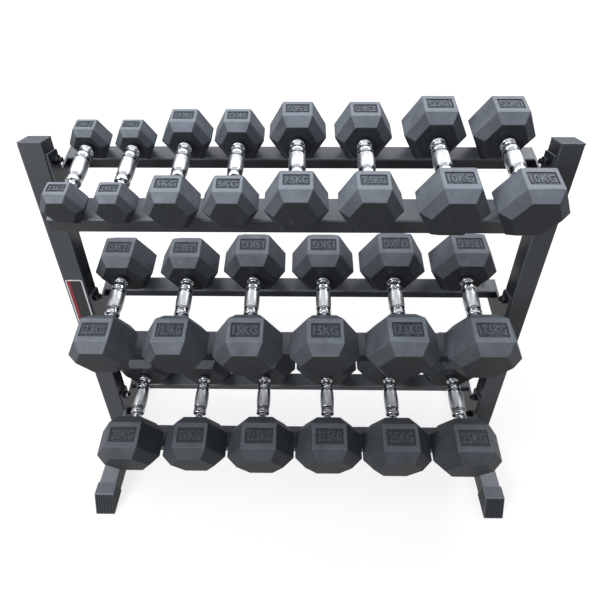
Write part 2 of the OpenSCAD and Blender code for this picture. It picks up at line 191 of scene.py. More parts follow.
def powder_coat(name, dark, light, dust_and_light_tone, rough):
    made, tree, shader, here = new_material(name, IOR=1.5)
    cloud = add(tree, NOISE, {"Vector": here, "Scale": grains(90), "Detail": 4.0, "Roughness": 0.6})
    rub = add(tree, NOISE, {"Vector": here, "Scale": grains(35), "Detail": 6.0, "Roughness": 0.7})
    gloss = add(tree, REMAP, {"Value": rub, "To Min": rough - 0.08, "To Max": rough + 0.1})
    peel = add(tree, NOISE, {"Vector": here, "Scale": grains(2), "Detail": 2.0})
    bump = add(tree, "ShaderNodeBump", {"Height": peel, "Strength": 0.25, "Distance": mm(0.15)})
    # What looks up is painted paler: partly dust, partly painted top light.
    finish_with(tree, shader, Base_Color=with_dust_and_top_light(tree, cloud, dark, light, dust_and_light_tone, 0.0),
                Roughness=gloss, Normal=bump)
    return made


# The dust colours stand partly for painted top light.
steel = powder_coat("polyester_powder_coat", "#25282c", "#303338", "#7f858f", 0.33)
# The edges' paler finish: partly rubbed wear, partly a painted highlight.
steel_edge_wear_and_highlight = powder_coat("powder_coat_edge_wear_and_painted_highlight", "#43474d", "#595e65", "#979da7", 0.3)
print("finishes:", steel.name, steel_edge_wear_and_highlight.name)

# %% [markdown]
# ## Moulded plastic and blackened fasteners
#
# The caps and foot sleeves are moulded polyethylene: a waxy black with a fine, even grain.
# Its top is paler, partly from dust and partly as painted top light, and its edges are pale,
# partly rubbed and partly a painted highlight. The bolts and nuts are steel with a black zinc
# plate, which stays a metal under its dark film and shines more than the powder coat.


# %% Plastic
def moulded_plastic(name, bare, light, dust_and_light_tone):
    made, tree, shader, here = new_material(name, IOR=1.51, Specular_IOR_Level=0.4)
    haze = add(tree, NOISE, {"Vector": here, "Scale": grains(25), "Detail": 5.0})
    gloss = add(tree, REMAP, {"Value": haze, "To Min": 0.38, "To Max": 0.56})
    grain = add(tree, "ShaderNodeTexVoronoi", {"Vector": here, "Scale": grains(1.2)})
    bump = add(tree, "ShaderNodeBump", {"Height": grain, "Strength": 0.2, "Distance": mm(0.1)})
    # The top is painted paler: partly dust, partly painted top light.
    finish_with(tree, shader, Base_Color=with_dust_and_top_light(tree, haze, bare, light, dust_and_light_tone, 0.4),
                Roughness=gloss, Normal=bump)
    return made


# The dust colour stands partly for painted top light.
plastic = moulded_plastic("moulded_polyethylene", "#16181b", "#222529", "#6f7680")
# Pale edges: partly rubbed wear, partly a painted highlight.
plastic_edge_wear_and_highlight = moulded_plastic("polyethylene_edge_wear_and_painted_highlight", "#6a7079", "#858c96", "#9aa1ab")

# %% Black zinc
zinc, tree, shader, here = new_material("black_zinc_plated_steel", Metallic=1.0)
film = add(tree, NOISE, {"Vector": here, "Scale": grains(4), "Detail": 3.0})
tint = add(tree, MIX, {"Factor": film, "A": shade("#34363a"), "B": shade("#54585d")},
           data_type="RGBA")
gloss = add(tree, REMAP, {"Value": film, "To Min": 0.2, "To Max": 0.4})
finish_with(tree, shader, Base_Color=tint, Roughness=gloss)
print("finishes:", plastic.name, plastic_edge_wear_and_highlight.name, zinc.name)

# %% [markdown]
# ## Moulded rubber
#
# Fresh rubber is nearly black. Handling and the mould's talc leave a thin grey bloom on faces
# that look up, and those faces are also painted paler as top light, so one pale tone is mixed
# in by the surface's own normal and broken up with noise. It is painted shade that makes the
# lower rows darker: the top row gets the most of the pale tone and the bottom row the least.
# Light scuffs lie over it. The rounded edges are paler, partly from wear and partly as a
# painted highlight, the floor of the number panel keeps a coarse pebble from the mould, and
# the walls of the panel and the sides of its digits are painted dark as shade.

# %% Rubber
# Painted shade: between these heights the pale tone fades, so lower rows are darker.
BOTTOM_ROW, TOP_ROW = 0.25, 0.8  # heights in metres
SCUFF = "#8d8f91"


def rubber_coat(name, bare, bloom_and_lit_tone, bloom_and_light_share, patch, spread, pebble, depth):
    """Rubber whose pale tone (bloom and painted top light, with painted shade lower down) has
    patches of size patch, uneven by the share spread, over a grain of size pebble. Both sizes
    and the grain's depth are in millimetres."""
    made, tree, shader, here = new_material(name, IOR=1.52, Specular_IOR_Level=0.3)
    # Bloom and painted top light: paler where the normal looks up.
    level = facing_up(tree, 0.0, 0.04, bloom_and_light_share)
    place = add(tree, "ShaderNodeSeparateXYZ", {"Vector": here})
    # Painted shade: the pale tone is weaker on lower rows.
    row = add(tree, REMAP, {"Value": (place, "Z"), "From Min": BOTTOM_ROW, "From Max": TOP_ROW,
                            "To Min": 0.38, "To Max": 1.1})
    bloom_light_and_row_shade = add(tree, MATH, {0: level, 1: row}, operation="MULTIPLY")
    patches = add(tree, NOISE, {"Vector": here, "Scale": grains(patch),
                                "Detail": 6.0, "Roughness": 0.65})
    uneven = add(tree, REMAP, {"Value": patches, "From Min": 0.3, "From Max": 0.7,
                               "To Min": 1 - spread, "To Max": 1 + spread})
    share = add(tree, MATH, {0: bloom_light_and_row_shade, 1: uneven}, operation="MULTIPLY", use_clamp=True)
    tint = add(tree, MIX, {"Factor": share, "A": shade(bare), "B": shade(bloom_and_lit_tone)}, data_type="RGBA")
    scratches = add(tree, NOISE, {"Vector": here, "Scale": grains(22),
                                  "Detail": 9.0, "Roughness": 0.78, "Distortion": 0.6})
    scuffed = add(tree, REMAP, {"Value": scratches, "From Min": 0.58, "From Max": 0.72,
                                "To Max": 0.3})
    worn = add(tree, MIX, {"Factor": scuffed, "A": (tint, "Result"), "B": shade(SCUFF)},
               data_type="RGBA")
    gloss = add(tree, REMAP, {"Value": patches, "To Min": 0.42, "To Max": 0.62})
    grain = add(tree, "ShaderNodeTexVoronoi", {"Vector": here, "Scale": grains(pebble)})
    bump = add(tree, "ShaderNodeBump", {"Height": grain, "Strength": 0.35, "Distance": mm(depth)})
    finish_with(tree, shader, Base_Color=worn, Roughness=gloss, Normal=bump)
    return made


# The bloom colours stand for bloom and painted top light.
rubber = rubber_coat("moulded_rubber", "#1a1d21", "#9ea7b4", 0.95, 45, 0.28, 1.6, 0.12)
# Rounded edges: partly wear, partly a painted highlight.
rubber_edge_wear_and_highlight = rubber_coat("rubber_edge_wear_and_painted_highlight", "#2d3136", "#9fa8b4", 0.95, 20, 0.3, 1.6, 0.1)
rubber_floor = rubber_coat("pebbled_rubber", "#121418", "#6a7480", 0.58, 5, 0.9, 3.0, 0.7)
rubber_digits = rubber_coat("raised_rubber", "#26292e", "#828c98", 0.85, 8, 0.35, 1.6, 0.1)
# Painted shade for the panel's walls and the digits' sides.
rubber_painted_shade = rubber_coat("rubber_with_painted_shade", "#0e0f12", "#1b1e22", 0.5, 8, 0.35, 1.6, 0.1)
print("finishes:", rubber.name, rubber_edge_wear_and_highlight.name, rubber_floor.name, rubber_digits.name,
      rubber_painted_shade.name)

# %% [markdown]
# ## Chrome
#
# The handles are turned steel with bright chrome plate, a metal with a pale, barely blue
# reflection. Fingers leave a slight haze, so the roughness varies a little. The knurled grip's
# small faces scatter the light, and it looks satin from a step away. The rings stay polished,
# and the grooves beside the grip take a darker chrome as painted shade.


# %% Chrome plate
def chrome_plate(name, colour, rough_low, rough_high):
    made, tree, shader, here = new_material(name, Metallic=1.0, Base_Color=shade(colour))
    smears = add(tree, NOISE, {"Vector": here, "Scale": grains(12),
                               "Detail": 5.0, "Roughness": 0.6})
    gloss = add(tree, REMAP, {"Value": smears, "To Min": rough_low, "To Max": rough_high})
    finish_with(tree, shader, Roughness=gloss)
    return made


chrome = chrome_plate("polished_chrome", "#cdd0d5", 0.07, 0.2)
# Painted shade: a darker chrome for the grooves.
chrome_with_painted_groove_shade = chrome_plate("chrome_painted_groove_shade", "#8f9297", 0.1, 0.22)
knurled_chrome = chrome_plate("knurled_chrome", "#dcdfe4", 0.28, 0.4)
print("finishes:", chrome.name, chrome_with_painted_groove_shade.name, knurled_chrome.name)

# %% [markdown]
# ## Printed vinyl
#
# The badge is a vinyl label, screen-printed in three colours: smooth, with a soft gloss and a
# barely uneven ink film.


# %% Vinyl
def vinyl(name, thin_ink, full_ink):
    made, tree, shader, here = new_material(name, IOR=1.5, Roughness=0.38)
    ink = add(tree, NOISE, {"Vector": here, "Scale": grains(6), "Detail": 3.0})
    tint = add(tree, MIX, {"Factor": ink, "A": shade(thin_ink), "B": shade(full_ink)},
               data_type="RGBA")
    finish_with(tree, shader, Base_Color=tint)
    return made


vinyl_white = vinyl("printed_vinyl_white", "#ecedef", "#f4f5f6")
vinyl_black = vinyl("printed_vinyl_black", "#1d1e20", "#292a2c")
vinyl_red = vinyl("printed_vinyl_red", "#93222f", "#a62b38")
print("finishes:", vinyl_white.name, vinyl_black.name, vinyl_red.name)

# %% [markdown]
# ## Finishing a piece
#
# Every piece ends the same way: its object stays at the origin with its place in its mesh, it
# rides on a body, and the CAD node that it stands for is hidden. On flat
# faces with small rounded edges, plain smooth shading would spread the roundness over the
# whole face, so their normals are weighted by face area.


# %% Helpers for meshes and pieces
def shown(name, mesh):
    made = bpy.data.objects.new(name, mesh)
    scene.collection.objects.link(made)
    return made


def evaluated_mesh(made):
    """The object's mesh with its modifiers applied. The object itself is removed."""
    graph = bpy.context.evaluated_depsgraph_get()
    mesh = bpy.data.meshes.new_from_object(made.evaluated_get(graph))
    bpy.data.objects.remove(made)
    return mesh


def mesh_from(bm, name, *materials, smooth_below=35):
    """A mesh from bmesh geometry, smooth where faces meet at less than smooth_below degrees."""
    mesh = bpy.data.meshes.new(name)
    bm.normal_update()
    sharp = math.radians(smooth_below)
    for edge in bm.edges:
        edge.smooth = len(edge.link_faces) == 2 and edge.calc_face_angle(0) < sharp
    for face in bm.faces:
        face.smooth = True
    bm.to_mesh(mesh)
    bm.free()
    for m in materials:
        mesh.materials.append(m)
    return mesh


def flat_faced(mesh):
    """The mesh with normals that keep its large faces flat up to their rounded edges."""
    made = shown("flat_faced", mesh)
    weigh = made.modifiers.new("weigh", "WEIGHTED_NORMAL")
    weigh.keep_sharp, weigh.weight = True, 100
    return evaluated_mesh(made)


def piece(name, mesh, body, node):
    """Shows a finished mesh, which rides on a body and stands for a CAD node."""
    made = shown(name, mesh)
    mesh.name = name
    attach(made, body)
    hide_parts(node)


# %% [markdown]
# ## Steelwork with real corners
#
# A drawn tube has round corners, a bent plate has a bend radius, and a cut plate has its edge
# broken. The CAD solids have sharp corners, so each steel node is copied, its triangles are
# merged, and its long edges are rounded, which leaves the bolt holes alone. The rounded strips
# take the paler edge finish, which is partly rubbed wear and partly a painted highlight.


# %% Round the long edges of a copied node
def long_corners(bm, longer_than):
    """The outer edges that turn by over 30 degrees and are longer than a length."""
    return [e for e in bm.edges if len(e.link_faces) == 2 and e.is_convex
            and e.calc_face_angle(0) > math.radians(30) and e.calc_length() > longer_than]


def round_off(bm, edges, radius, segments):
    """Rounds edges. The new faces take the mesh's second material."""
    made = bmesh.ops.bevel(bm, geom=edges, offset=radius, segments=segments, profile=0.5,
                           affect="EDGES", clamp_overlap=True)
    for face in made["faces"]:
        face.material_index = 1


def merged_copy(node):
    """A copy of a CAD node whose flat triangles are merged into whole faces."""
    bm = bmesh.new()
    bm.from_mesh(frame["nodes"][node].data)
    bmesh.ops.remove_doubles(bm, verts=bm.verts, dist=mm(0.02))
    bmesh.ops.dissolve_limit(bm, angle_limit=math.radians(0.5), verts=bm.verts, edges=bm.edges)
    for face in bm.faces:
        face.material_index = 0
    return bm


def steel_piece(bm, name, node, longer_than, radius, segments):
    """Rounds the long corners that are still sharp, and shows the result as a steel piece."""
    corners = [e for e in long_corners(bm, longer_than)
               if not any(face.material_index for face in e.link_faces)]
    round_off(bm, corners, radius, segments)
    # Rounded strips take the edge finish: partly wear, partly a painted highlight.
    mesh = flat_faced(mesh_from(bm, name, steel, steel_edge_wear_and_highlight))
    piece(name, mesh, "rack", node)
    print(name, len(mesh.polygons), "faces")


# %% Uprights and feet: square tube
LONG_EDGE, TUBE_CORNER = mm(300), mm(2.5)
for node in ("left_upright", "left_foot", "right_upright", "right_foot"):
    steel_piece(merged_copy(node), node + "_tube", node, LONG_EDGE, TUBE_CORNER, 3)

# %% [markdown]
# ## Rails
#
# Each rail is one plate, bent down along its front. The bend's outer radius is about the
# plate's thickness. Its edge is found by the two faces that meet there. The cut edges are
# only broken.

# %% Bent rails
TIERS = ("bottom", "middle", "top")
RAIL_T, BROKEN_EDGE = mm(4), mm(0.7)


def is_bend(edge):
    """True for the edge where a rail's top plate meets the face of its lip."""
    normals = [face.normal for face in edge.link_faces]
    return any(n.z > 0.9 for n in normals) and any(n.y < -0.9 for n in normals)


for tier in TIERS:
    for place in ("front", "rear"):
        node = f"{tier}_{place}_rail"
        bm = merged_copy(node)
        round_off(bm, [e for e in long_corners(bm, LONG_EDGE) if is_bend(e)], RAIL_T, 4)
        steel_piece(bm, node + "_plate", node, LONG_EDGE, BROKEN_EDGE, 2)

# %% Side brackets: plate with broken edges
for tier in TIERS:
    node = tier + "_side_brackets"
    steel_piece(merged_copy(node), node + "_plate", node, mm(12), mm(0.8), 2)

# %% Plastic caps
bm = merged_copy("upright_top_caps")
round_off(bm, long_corners(bm, mm(40)), mm(1), 2)
# Rounded edges take the pale edge finish: wear and a painted highlight.
mesh = flat_faced(mesh_from(bm, "caps", plastic, plastic_edge_wear_and_highlight))
piece("upright_caps", mesh, "rack", "upright_top_caps")
print("caps:", len(mesh.polygons), "faces")

# %% [markdown]
# ## Running a Geometry Nodes tree
#
# What repeats is made with Geometry Nodes, from trees with named inputs for their sizes. A
# helper gives them to a modifier on a carrier mesh, evaluates it, and keeps the plain mesh.
# The carrier's vertices are the places, with an attribute named aim that turns each copy.


# %% Helpers for Geometry Nodes
def new_tree(name, **inputs):
    """A tree with a geometry input and output and named number inputs, and its input node."""
    tree = bpy.data.node_groups.new(name, "GeometryNodeTree")
    sockets = tree.interface
    sockets.new_socket("Places", in_out="INPUT", socket_type="NodeSocketGeometry")
    for key, value in inputs.items():
        kind = "NodeSocketInt" if isinstance(value, int) else "NodeSocketFloat"
        made = sockets.new_socket(key.replace("_", " "), in_out="INPUT", socket_type=kind)
        made.default_value = value
    sockets.new_socket("Mesh", in_out="OUTPUT", socket_type="NodeSocketGeometry")
    return tree, add(tree, "NodeGroupInput")


def end_tree(tree, shape, finish):
    """The last nodes of a tree: real geometry, its finish, and the output."""
    real = add(tree, "GeometryNodeRealizeInstances", {"Geometry": shape})
    painted = add(tree, "GeometryNodeSetMaterial", {"Geometry": real, "Material": finish})
    add(tree, "NodeGroupOutput", {"Mesh": painted})


def grown(tree, matrices, **sizes):
    """The plain mesh of a tree whose copies stand at the given matrices."""
    spots = bpy.data.meshes.new("spots")
    spots.from_pydata([m.to_translation() for m in matrices], [], [])
    aim = spots.attributes.new("aim", "FLOAT_VECTOR", "POINT")
    aim.data.foreach_set("vector", [v for m in matrices for v in m.to_euler()])
    carrier = shown(tree.name, spots)
    modifier = carrier.modifiers.new(tree.name, "NODES")
    modifier.node_group = tree
    named = {s.name: s.identifier for s in tree.interface.items_tree if s.in_out == "INPUT"}
    for key, value in sizes.items():
        modifier[named[key.replace("_", " ")]] = value
    return evaluated_mesh(carrier)


def at_places(tree, given, shape):
    """Copies of a shape on the carrier's vertices, turned by their aim."""
    aim = add(tree, "GeometryNodeInputNamedAttribute", {"Name": "aim"}, data_type="FLOAT_VECTOR")
    return add(tree, "GeometryNodeInstanceOnPoints",
               {"Points": (given, "Places"), "Instance": shape, "Rotation": aim})


# %% [markdown]
# ## Foot sleeves
#
# Each end of a foot wears a moulded sleeve whose face is mitred and ribbed. The body is a side
# view pushed across the foot. A rib is a rounded curve, filled and pushed out, and it is
# repeated along a line.

# %% Tree for a row of ribs
WELD = 1e-5  # points nearer than this, in metres, are one
ribs, given = new_tree("rib_row", Count=8, Spacing=0.006, Width=0.004, Length=0.05, Height=0.001)
outline = add(ribs, "GeometryNodeCurvePrimitiveQuadrilateral",
              {"Width": (given, "Width"), "Height": (given, "Length")}, mode="RECTANGLE")
corner = add(ribs, MATH, {0: (given, "Width"), 1: 0.45}, operation="MULTIPLY")
rounded = add(ribs, "GeometryNodeFilletCurve",
              {"Curve": outline, "Radius": corner, "Count": 4}, mode="POLY")
sheet = add(ribs, "GeometryNodeFillCurve", {"Curve": rounded}, mode="NGONS")
pushed = add(ribs, "GeometryNodeExtrudeMesh", {"Mesh": sheet, "Offset Scale": (given, "Height")})
under = add(ribs, "GeometryNodeFlipFaces", {"Mesh": sheet})
both = add(ribs, "GeometryNodeJoinGeometry", {"Geometry": pushed})
ribs.links.new(under.outputs[0], both.inputs[0])
rib = add(ribs, "GeometryNodeMergeByDistance", {"Geometry": both, "Distance": WELD})
gaps = add(ribs, MATH, {0: (given, "Count"), 1: 1.0}, operation="SUBTRACT")
reach = add(ribs, MATH, {0: gaps, 1: (given, "Spacing")}, operation="MULTIPLY")
start = add(ribs, VECTOR_MATH, {0: (-0.5, 0, 0), "Scale": reach}, operation="SCALE")
step = add(ribs, "ShaderNodeCombineXYZ", {"X": (given, "Spacing")})
line = add(ribs, "GeometryNodeMeshLine",
           {"Count": (given, "Count"), "Start Location": start, "Offset": step}, mode="OFFSET")
row = add(ribs, "GeometryNodeInstanceOnPoints", {"Points": line, "Instance": rib})
end_tree(ribs, at_places(ribs, given, row), plastic)
print("rib tree:", len(ribs.nodes), "nodes")


# %% Helpers that close and join shapes
def shell(bm, rings, capped=True):
    """A closed skin: faces from each ring of vertices to the next, and a cap on both ends."""
    for a, b in zip(rings, rings[1:]):
        for i in range(len(a)):
            j = (i + 1) % len(a)
            bm.faces.new((a[i], a[j], b[j], b[i]))
    if capped:
        bm.faces.new(rings[0])
        bm.faces.new(rings[-1])
    else:
        bmesh.ops.remove_doubles(bm, verts=bm.verts, dist=1e-7)
    bmesh.ops.recalc_face_normals(bm, faces=bm.faces)


def joined(parts, name):
    """One mesh from (mesh, matrix) parts, which keep their materials."""
    finishes = []
    for mesh, matrix in parts:
        finishes += [m for m in mesh.materials if m not in finishes]
    bm = bmesh.new()
    for mesh, matrix in parts:
        copy = mesh.copy()
        copy.transform(matrix)
        before = len(bm.faces)
        bm.from_mesh(copy)
        bm.faces.ensure_lookup_table()
        for face in bm.faces[before:]:
            face.material_index = finishes.index(mesh.materials[face.material_index])
        bpy.data.meshes.remove(copy)
    whole = bpy.data.meshes.new(name)
    bm.to_mesh(whole)
    bm.free()
    for m in finishes:
        whole.materials.append(m)
    return whole


# %% Sleeves
SLEEVE_OUT, SLEEVE_TOP, MITRE = mm(49), mm(34), mm(32)
RIBS, RIB_WIDTH, RIB_HEIGHT = 8, mm(4), mm(2)
low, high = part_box("foot_end_sleeves")
middle_y, back = (low.y + high.y) / 2, (high.y - low.y) / 2 - MITRE
face_length = math.hypot(MITRE, SLEEVE_OUT)
down, out = MITRE / face_length, SLEEVE_OUT / face_length
sunk = RIB_HEIGHT / out
view = [(back - SLEEVE_TOP, 0), (back + MITRE - sunk, 0),
        (back - sunk, SLEEVE_OUT), (back - SLEEVE_TOP, SLEEVE_OUT)]
bm = bmesh.new()
shell(bm, [[bm.verts.new((x, y, z)) for y, z in view] for x in (-SLEEVE_OUT / 2, SLEEVE_OUT / 2)])
round_off(bm, bm.edges[:], mm(1.2), 2)
# Rounded edges take the pale edge finish: wear and a painted highlight.
sleeve = flat_faced(mesh_from(bm, "sleeve", plastic, plastic_edge_wear_and_highlight))
# On the mitred face: +X across it, +Y up it, +Z out of it.
on_face = Matrix(((-1, 0, 0, 0), (0, -down, out, back + MITRE), (0, out, down, 0), (0, 0, 0, 1)))
places = [Matrix.Translation((x, middle_y, 0)) @ Matrix.Rotation(turn, 4, "Z")
          for x in (low.x + SLEEVE_OUT / 2, high.x - SLEEVE_OUT / 2) for turn in (0, math.pi)]
rows = [place @ on_face @ Matrix.Translation((0, face_length / 2, -RIB_HEIGHT))
        for place in places]
rib_mesh = grown(ribs, rows, Count=RIBS, Spacing=SLEEVE_OUT / RIBS - mm(0.2), Width=RIB_WIDTH,
                 Length=face_length - mm(6), Height=RIB_HEIGHT - mm(0.1))
mesh = joined([(sleeve, place) for place in places] + [(rib_mesh, Matrix())], "foot_sleeves")
piece("foot_sleeves", flat_faced(mesh), "rack", "foot_end_sleeves")
print("sleeves:", len(mesh.polygons), "faces,", 4 * RIBS, "ribs")

# %% [markdown]
# ## Bolts, nuts and screws
#
# A forged bolt head or nut is a hexagonal prism whose corners are chamfered by a cone, so the
# tree intersects the two. The cone is longer than the prism at both ends, so that no two faces
# lie in one plane. Each nut stops at its own angle, from a fixed seed. The places come from
# the CAD node's solids.

# %% Tree for hexagonal heads and nuts
CHAMFER_RIM = 0.485  # the cone's radius at the chamfered face, as a share of the flats
CHAMFER_SLOPE = math.sqrt(3)  # a 30 degree chamfer
PAST_END = 0.1  # how far the cone runs past each end, as a share of the height
hexes, given = new_tree("hex_parts", Across_flats=0.016, Height=0.0064)
radius = add(hexes, MATH, {0: (given, "Across flats"), 1: 1 / math.sqrt(3)}, operation="MULTIPLY")
prism = add(hexes, "GeometryNodeMeshCylinder",
            {"Vertices": 6, "Radius": radius, "Depth": (given, "Height")}, fill_type="NGON")
rim = add(hexes, MATH, {0: (given, "Across flats"), 1: CHAMFER_RIM}, operation="MULTIPLY")
top_rim = add(hexes, MATH, {0: (given, "Height"), 1: -PAST_END * CHAMFER_SLOPE, 2: rim},
              operation="MULTIPLY_ADD")
base_rim = add(hexes, MATH, {0: (given, "Height"), 1: (1 + PAST_END) * CHAMFER_SLOPE, 2: rim},
               operation="MULTIPLY_ADD")
tall = add(hexes, MATH, {0: (given, "Height"), 1: 1 + 2 * PAST_END}, operation="MULTIPLY")
cone = add(hexes, "GeometryNodeMeshCone",
           {"Vertices": 36, "Radius Top": top_rim, "Radius Bottom": base_rim, "Depth": tall},
           fill_type="NGON")
sunk = add(hexes, VECTOR_MATH, {0: (0, 0, -PAST_END), "Scale": (given, "Height")},
           operation="SCALE")
cone = add(hexes, "GeometryNodeTransform", {"Geometry": cone, "Translation": sunk})
lift = add(hexes, VECTOR_MATH, {0: (0, 0, 0.5), "Scale": (given, "Height")}, operation="SCALE")
prism = add(hexes, "GeometryNodeTransform", {"Geometry": prism, "Translation": lift})
cut = add(hexes, "GeometryNodeMeshBoolean", {1: prism}, operation="INTERSECT")
hexes.links.new(cone.outputs[0], cut.inputs[1])
end_tree(hexes, at_places(hexes, given, cut), zinc)
print("hex tree:", len(hexes.nodes), "nodes")


# %% Places of the fasteners
def solids_of(node):
    """The lowest and highest corner of each separate solid in a CAD node."""
    bm = merged_copy(node)
    boxes, left = [], set(bm.verts)
    while left:
        found = [left.pop()]
        for vert in found:
            for edge in vert.link_edges:
                other = edge.other_vert(vert)
                if other in left:
                    left.remove(other)
                    found.append(other)
        co = np.array([v.co for v in found])
        boxes.append((Vector(co.min(0)), Vector(co.max(0))))
    bm.free()
    return sorted(boxes, key=lambda b: tuple(b[0]))


def turned(line, finish, steps=40):
    """A turned part round Z, from (radius, height) points. A line that ends where it began
    makes a ring, and any other line is capped."""
    around = [2 * math.pi * i / steps for i in range(steps)]
    bm = bmesh.new()
    shell(bm, [[bm.verts.new((r * math.cos(a), r * math.sin(a), z)) for a in around]
               for r, z in line], capped=line[0] != line[-1])
    return mesh_from(bm, "turned", finish)


def in_mm(points):
    return [tuple(mm(v) for v in point) for point in points]


bolts, washers, nuts = (solids_of("bracket_" + n) for n in ("bolts", "washers", "nuts"))
print(len(bolts), "bolts,", len(washers), "washers,", len(nuts), "nuts")

# %% Profiles of the bolt's shank and the washer
BOLT_R, BOLT_LENGTH, HEX_AF, HEAD_HEIGHT, NUT_HEIGHT = mm(5), mm(66), mm(16), mm(6.4), mm(8)
THREAD_START, THREAD_PITCH, THREAD_DEPTH, THREAD_TURNS = mm(1), mm(1.5), mm(0.7), 8
shank_line = [(BOLT_R - mm(0.9), 0), (BOLT_R, mm(0.9))]
for i in range(THREAD_TURNS):
    shank_line += [(BOLT_R, THREAD_START + i * THREAD_PITCH),
                   (BOLT_R - THREAD_DEPTH, THREAD_START + (i + 0.5) * THREAD_PITCH)]
shank = turned(shank_line + [(BOLT_R, mm(14)), (BOLT_R, BOLT_LENGTH)], zinc, steps=24)
washer = turned(in_mm([(5.3, 0), (9.7, 0), (10, 0.3), (10, 1.7), (9.7, 2), (5.3, 2), (5.3, 0)]),
                zinc, steps=32)
print("shank:", len(shank.polygons), "faces")


# %% Bracket bolts with their washers and nuts
def on_axis(x, centre, turn):
    """The matrix of a part on a bolt's axis, which runs across the rack through centre."""
    return Matrix.Translation((x, centre.y, centre.z)) @ turn


clocking = np.random.default_rng(7)
heads, faces, shanks, rings = [], [], [], []
for (low, high), (w_low, w_high), (n_low, n_high) in zip(bolts, washers, nuts):
    side = 1 if low.x > 0 else -1
    centre = (low + high) / 2
    outwards = Matrix.Rotation(side * math.pi / 2, 4, "Y")
    inwards = Matrix.Rotation(-side * math.pi / 2, 4, "Y")
    outer, inner = (high.x, low.x) if side > 0 else (low.x, high.x)
    wash, nut = (w_high.x, n_high.x) if side > 0 else (w_low.x, n_low.x)
    angle = [Matrix.Rotation(a, 4, "Z") for a in clocking.uniform(0, math.pi / 3, 2)]
    heads.append(on_axis(outer - side * HEAD_HEIGHT, centre, outwards @ angle[0]))
    faces.append(on_axis(nut, centre, inwards @ angle[1]))
    shanks.append((shank, on_axis(inner, centre, outwards)))
    rings.append((washer, on_axis(wash, centre, inwards)))
head_mesh = grown(hexes, heads, Across_flats=HEX_AF, Height=HEAD_HEIGHT)
nut_mesh = grown(hexes, faces, Across_flats=HEX_AF, Height=NUT_HEIGHT)
piece("bracket_bolt_set", flat_faced(joined([(head_mesh, Matrix())] + shanks, "bolts")),
      "rack", "bracket_bolts")
piece("bracket_nut_set", flat_faced(nut_mesh), "rack", "bracket_nuts")
piece("bracket_washer_set", joined(rings, "washers"), "rack", "bracket_washers")
print("bolt heads:", len(head_mesh.polygons), "faces, nuts:", len(nut_mesh.polygons))

# %% [markdown]
# Countersunk screws with a round socket hold the rails on their seats, and their nuts are
# under the seats. The CAD node holds both, told apart by height.

# %% Rail screws
TRAY_TILT = math.radians(10.3)
SCREW_TOP = mm(8.6)  # from the middle of a CAD screw to the face of its head
SCREW_AF, SCREW_NUT_HEIGHT = mm(13), mm(6.4)
boxes = solids_of("rail_screws_and_nuts")
screw = turned(in_mm([(0.2, -3), (2.4, -3), (2.6, 0), (7.6, 0), (8, -0.3),
                      (4, -4), (4, -16.8), (3.2, -17.2)]), zinc, steps=32)
lean = Matrix.Rotation(TRAY_TILT, 4, "X")
screws, nut_places = [], []
for low, high in boxes:
    place = Matrix.Translation((low + high) / 2) @ lean
    if high.z - low.z > mm(12):
        screws.append((screw, place @ Matrix.Translation((0, 0, SCREW_TOP))))
    else:
        turn = Matrix.Rotation(float(clocking.uniform(0, 1)), 4, "Z")
        over = Matrix.Rotation(math.pi, 4, "X") @ turn
        nut_places.append(place @ Matrix.Translation((0, 0, SCREW_NUT_HEIGHT / 2)) @ over)
screw_nuts = grown(hexes, nut_places, Across_flats=SCREW_AF, Height=SCREW_NUT_HEIGHT)
mesh = joined(screws + [(screw_nuts, Matrix())], "rail_screws")
piece("rail_screw_set", mesh, "rack", "rail_screws_and_nuts")
print(len(screws), "rail screws,", len(nut_places), "nuts:", len(mesh.polygons), "faces")

# %% [markdown]
# ## Badge
#
# The vinyl label on the left upright is plain: a white border with round corners, a black
# field, and a red stripe down its outer side. Each colour is a thin plate, a little above the
# one below it.


# %% Thin plates
def rounded_loop(bm, width, depth, radius, centre, z, steps=4):
    """Vertices round a rectangle with round corners, level at height z."""
    loop = []
    for i, (sx, sy) in enumerate(((1, 1), (-1, 1), (-1, -1), (1, -1))):
        for s in range(steps + 1):
            turn = math.radians(90 * i + 90 * s / steps)
            x = centre[0] + sx * (width / 2 - radius) + radius * math.cos(turn)
            y = centre[1] + sy * (depth / 2 - radius) + radius * math.sin(turn)
            loop.append(bm.verts.new((x, y, z)))
    return loop


def label_field(width, height, radius, x, top, finish):
    bm = bmesh.new()
    shell(bm, [rounded_loop(bm, width, height, radius, (x, 0), z) for z in (0, top)])
    return mesh_from(bm, "label_field", finish)


# %% The label
UPRIGHT_LEAN = math.radians(10.3)
LABEL_W, LABEL_H, BORDER, STRIPE_W = mm(38), mm(150), mm(3), mm(7)
low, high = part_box("upright_badge")
on_upright = (Matrix.Translation((low + high) / 2) @ Matrix.Rotation(-UPRIGHT_LEAN, 4, "X")
              @ Matrix.Rotation(math.pi / 2, 4, "X") @ Matrix.Translation((0, 0, -mm(0.4))))
inner_w, inner_h = LABEL_W - 2 * BORDER, LABEL_H - 2 * BORDER
label = [label_field(LABEL_W, LABEL_H, mm(5), 0, mm(0.5), vinyl_white),
         label_field(inner_w, inner_h, mm(3), 0, mm(0.6), vinyl_black),
         label_field(STRIPE_W, inner_h, mm(2.5), (STRIPE_W - inner_w) / 2, mm(0.7), vinyl_red)]
mesh = joined([(m, on_upright) for m in label], "label")
piece("upright_label", mesh, "rack", "upright_badge")
print("label:", len(mesh.polygons), "faces")

# %% [markdown]
# ## Dumbbells
#
# Ten kinds, two of each, in three rows. A dumbbell follows from a few sizes: the head's height
# across its flats, its length, the grip's length and diameter, and the shares that set its
# bevels. One head and one handle are made per kind, and then placed at each dumbbell's own
# centre, leaning with its tray.

